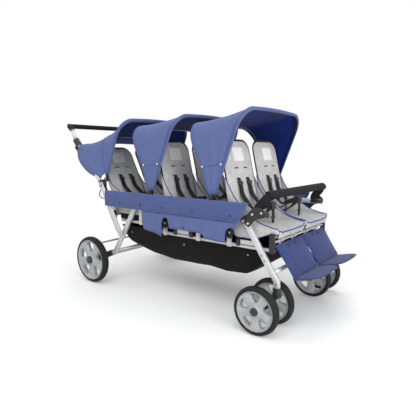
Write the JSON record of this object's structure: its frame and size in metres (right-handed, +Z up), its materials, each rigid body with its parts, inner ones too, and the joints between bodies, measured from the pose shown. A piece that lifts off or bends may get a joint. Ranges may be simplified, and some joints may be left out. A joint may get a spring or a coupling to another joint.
{
  "type": "six-seat stroller",
  "caption": "Long folding stroller with three rows of paired reclining seats, hooped canopies, swivel double casters in front and large rear wheels.",
  "frame": {"origin": "middle of the stroller's outline on the floor", "axes": "+X forward in the direction of travel, +Y to the stroller's left, +Z up"},
  "size_m": [1.803, 0.838, 1.067],
  "materials": {
    "silver_frame": "satin clear-coated tube",
    "steel_screws": "brushed",
    "black_plastic": "matt black",
    "red_plastic": "gloss red",
    "blue_cloth": "woven polyester",
    "blue_padding": "padded polyester",
    "grey_padding": "padded polyester",
    "black_cloth": "woven polyester",
    "black_webbing": "webbing and buckles",
    "black_foam": "matt foam",
    "grey_steel": "satin grey",
    "tyre": "matt rubber",
    "wheel_grey": "satin grey"
  },
  "bodies": {
    "chassis": {"upper_rails": "silver_frame", "lower_rails": "silver_frame", "rail_plates": "silver_frame", "cross_tubes": "silver_frame", "leg_brackets": "silver_frame", "frame_screws": "steel_screws", "fold_joint_bases": "black_plastic", "canopy_brackets": "black_plastic", "canopy_rear_bows": "black_plastic", "side_pads": "blue_cloth", "side_curtains": "blue_cloth", "basket": "black_cloth", "seat_bases": "grey_padding", "seat_hinges": "black_plastic", "lap_harness": "black_webbing", "bumper_grip": "black_foam", "release_cables": "black_plastic", "canopy_1": "blue_cloth", "canopy_2": "blue_cloth", "canopy_3": "blue_cloth"},
    "canopy_bow_1": {"canopy_bow_1": "black_plastic"},
    "canopy_bow_2": {"canopy_bow_2": "black_plastic"},
    "canopy_bow_3": {"canopy_bow_3": "black_plastic"},
    "handle": {"handle_tubes": "silver_frame", "handle_hubs": "black_plastic", "handle_grip": "black_foam", "release_housings": "black_plastic"},
    "release_lever_left": {"release_lever_left": "black_plastic"},
    "release_lever_right": {"release_lever_right": "black_plastic"},
    "release_button_left": {"release_button_left": "red_plastic"},
    "release_button_right": {"release_button_right": "red_plastic"},
    "handle_links": {"handle_links": "silver_frame"},
    "rear_frame": {"rear_legs": "silver_frame", "rear_leg_brackets": "black_plastic", "rear_axle": "silver_frame"},
    "brake": {"brake_bar": "grey_steel"},
    "rear_wheel_left": {"rear_tyre_left": "tyre", "rear_rim_left": "wheel_grey"},
    "rear_wheel_right": {"rear_tyre_right": "tyre", "rear_rim_right": "wheel_grey"},
    "front_frame": {"front_legs": "silver_frame", "caster_sockets": "black_plastic"},
    "caster_left": {"caster_fork_left": "black_plastic"},
    "caster_right": {"caster_fork_right": "black_plastic"},
    "caster_wheel_left_in": {"caster_tyre_left_in": "tyre", "caster_rim_left_in": "wheel_grey"},
    "caster_wheel_left_out": {"caster_tyre_left_out": "tyre", "caster_rim_left_out": "wheel_grey"},
    "caster_wheel_right_in": {"caster_tyre_right_in": "tyre", "caster_rim_right_in": "wheel_grey"},
    "caster_wheel_right_out": {"caster_tyre_right_out": "tyre", "caster_rim_right_out": "wheel_grey"},
    "seat_back_1_left": {"seat_back_1_left": "grey_padding"},
    "seat_back_1_right": {"seat_back_1_right": "grey_padding"},
    "seat_back_2_left": {"seat_back_2_left": "grey_padding"},
    "seat_back_2_right": {"seat_back_2_right": "grey_padding"},
    "seat_back_3_left": {"seat_back_3_left": "grey_padding"},
    "seat_back_3_right": {"seat_back_3_right": "grey_padding"},
    "footrest": {"footrest_frame": "silver_frame", "footrest_pads": "blue_padding"}
  },
  "joints": [
    {"name": "front_leg_fold", "type": "hinge", "parent": "chassis", "child": "front_frame", "pos_m": [0.53, 0, 0.521], "axis": [0, 1, 0], "range_deg": [0, 50], "deforming": ["basket"]},
    {"name": "rear_leg_fold", "type": "hinge", "parent": "chassis", "child": "rear_frame", "pos_m": [-0.247, 0, 0.521], "axis": [0, 1, 0], "range_deg": [0, 20]},
    {"name": "link_fold", "type": "hinge", "parent": "chassis", "child": "handle_links", "pos_m": [-0.531, 0, 0.64], "axis": [0, 1, 0], "range_deg": [0, 10]},
    {"name": "handle_fold", "type": "hinge", "parent": "chassis", "child": "handle", "pos_m": [-0.531, 0, 0.64], "axis": [0, 1, 0], "range_deg": [0, 58], "deforming": ["canopy_1"]},
    {"name": "canopy_1_fold", "type": "hinge", "parent": "chassis", "child": "canopy_bow_1", "pos_m": [-0.511, 0, 0.67], "axis": [0, 1, 0], "range_deg": [-28, 0]},
    {"name": "canopy_2_fold", "type": "hinge", "parent": "chassis", "child": "canopy_bow_2", "pos_m": [-0.103, 0, 0.61], "axis": [0, 1, 0], "range_deg": [-40, 0], "deforming": ["canopy_2"]},
    {"name": "canopy_3_fold", "type": "hinge", "parent": "chassis", "child": "canopy_bow_3", "pos_m": [0.34, 0, 0.61], "axis": [0, 1, 0], "range_deg": [-38, 0], "deforming": ["canopy_3"]},
    {"name": "release_lever_left", "type": "hinge", "parent": "handle", "child": "release_lever_left", "pos_m": [-0.78224, 0.34, 0.8726], "axis": [0, 1, 0], "range_deg": [-10, 0], "stiffness_Nm_per_rad": 0.6, "springref_deg": 8.59},
    {"name": "release_button_left", "type": "slide", "parent": "handle", "child": "release_button_left", "axis": [0.7401, 0, 0.6725], "range_m": [-0.0028, 0], "stiffness_N_per_m": 400, "springref_m": 0.002},
    {"name": "release_lever_right", "type": "hinge", "parent": "handle", "child": "release_lever_right", "pos_m": [-0.78224, -0.34, 0.8726], "axis": [0, 1, 0], "range_deg": [-10, 0], "stiffness_Nm_per_rad": 0.6, "springref_deg": 8.59},
    {"name": "release_button_right", "type": "slide", "parent": "handle", "child": "release_button_right", "axis": [0.7401, 0, 0.6725], "range_m": [-0.0028, 0], "stiffness_N_per_m": 400, "springref_m": 0.002},
    {"name": "caster_swivel_left", "type": "hinge", "parent": "front_frame", "child": "caster_left", "pos_m": [0.709, 0.3165, 0.176], "axis": [0, 0, 1], "continuous": true},
    {"name": "caster_wheel_left_in_spin", "type": "hinge", "parent": "caster_left", "child": "caster_wheel_left_in", "pos_m": [0.644, 0.24, 0.117], "axis": [0, 1, 0], "continuous": true},
    {"name": "caster_wheel_left_out_spin", "type": "hinge", "parent": "caster_left", "child": "caster_wheel_left_out", "pos_m": [0.644, 0.393, 0.117], "axis": [0, 1, 0], "continuous": true},
    {"name": "caster_swivel_right", "type": "hinge", "parent": "front_frame", "child": "caster_right", "pos_m": [0.709, -0.3165, 0.176], "axis": [0, 0, 1], "continuous": true},
    {"name": "caster_wheel_right_in_spin", "type": "hinge", "parent": "caster_right", "child": "caster_wheel_right_in", "pos_m": [0.644, -0.24, 0.117], "axis": [0, 1, 0], "continuous": true},
    {"name": "caster_wheel_right_out_spin", "type": "hinge", "parent": "caster_right", "child": "caster_wheel_right_out", "pos_m": [0.644, -0.393, 0.117], "axis": [0, 1, 0], "continuous": true},
    {"name": "rear_wheel_left_spin", "type": "hinge", "parent": "rear_frame", "child": "rear_wheel_left", "pos_m": [-0.597, 0.388, 0.15], "axis": [0, 1, 0], "continuous": true},
    {"name": "rear_wheel_right_spin", "type": "hinge", "parent": "rear_frame", "child": "rear_wheel_right", "pos_m": [-0.597, -0.388, 0.15], "axis": [0, 1, 0], "continuous": true},
    {"name": "brake_press", "type": "hinge", "parent": "rear_frame", "child": "brake", "pos_m": [-0.382, 0, 0.31075], "axis": [0, 1, 0], "range_deg": [-12, 0]},
    {"name": "recline_1_left", "type": "hinge", "parent": "chassis", "child": "seat_back_1_left", "pos_m": [-0.443, 0.153, 0.499], "axis": [0, 1, 0], "range_deg": [-8, 14]},
    {"name": "recline_1_right", "type": "hinge", "parent": "chassis", "child": "seat_back_1_right", "pos_m": [-0.443, -0.153, 0.499], "axis": [0, 1, 0], "range_deg": [-8, 14]},
    {"name": "recline_2_left", "type": "hinge", "parent": "chassis", "child": "seat_back_2_left", "pos_m": [0, 0.153, 0.499], "axis": [0, 1, 0], "range_deg": [-22, 0]},
    {"name": "recline_2_right", "type": "hinge", "parent": "chassis", "child": "seat_back_2_right", "pos_m": [0, -0.153, 0.499], "axis": [0, 1, 0], "range_deg": [-22, 0]},
    {"name": "recline_3_left", "type": "hinge", "parent": "chassis", "child": "seat_back_3_left", "pos_m": [0.443, 0.153, 0.499], "axis": [0, 1, 0], "range_deg": [-22, 0]},
    {"name": "recline_3_right", "type": "hinge", "parent": "chassis", "child": "seat_back_3_right", "pos_m": [0.443, -0.153, 0.499], "axis": [0, 1, 0], "range_deg": [-22, 0]},
    {"name": "footrest_fold", "type": "hinge", "parent": "chassis", "child": "footrest", "pos_m": [0.672, 0, 0.4247], "axis": [0, 1, 0], "range_deg": [-50, 0]}
  ],
  "couplings": [
    {"joint": "rear_leg_fold", "follows": "front_leg_fold", "ratio": 0.4},
    {"joint": "link_fold", "follows": "front_leg_fold", "ratio": 0.2}
  ]
}
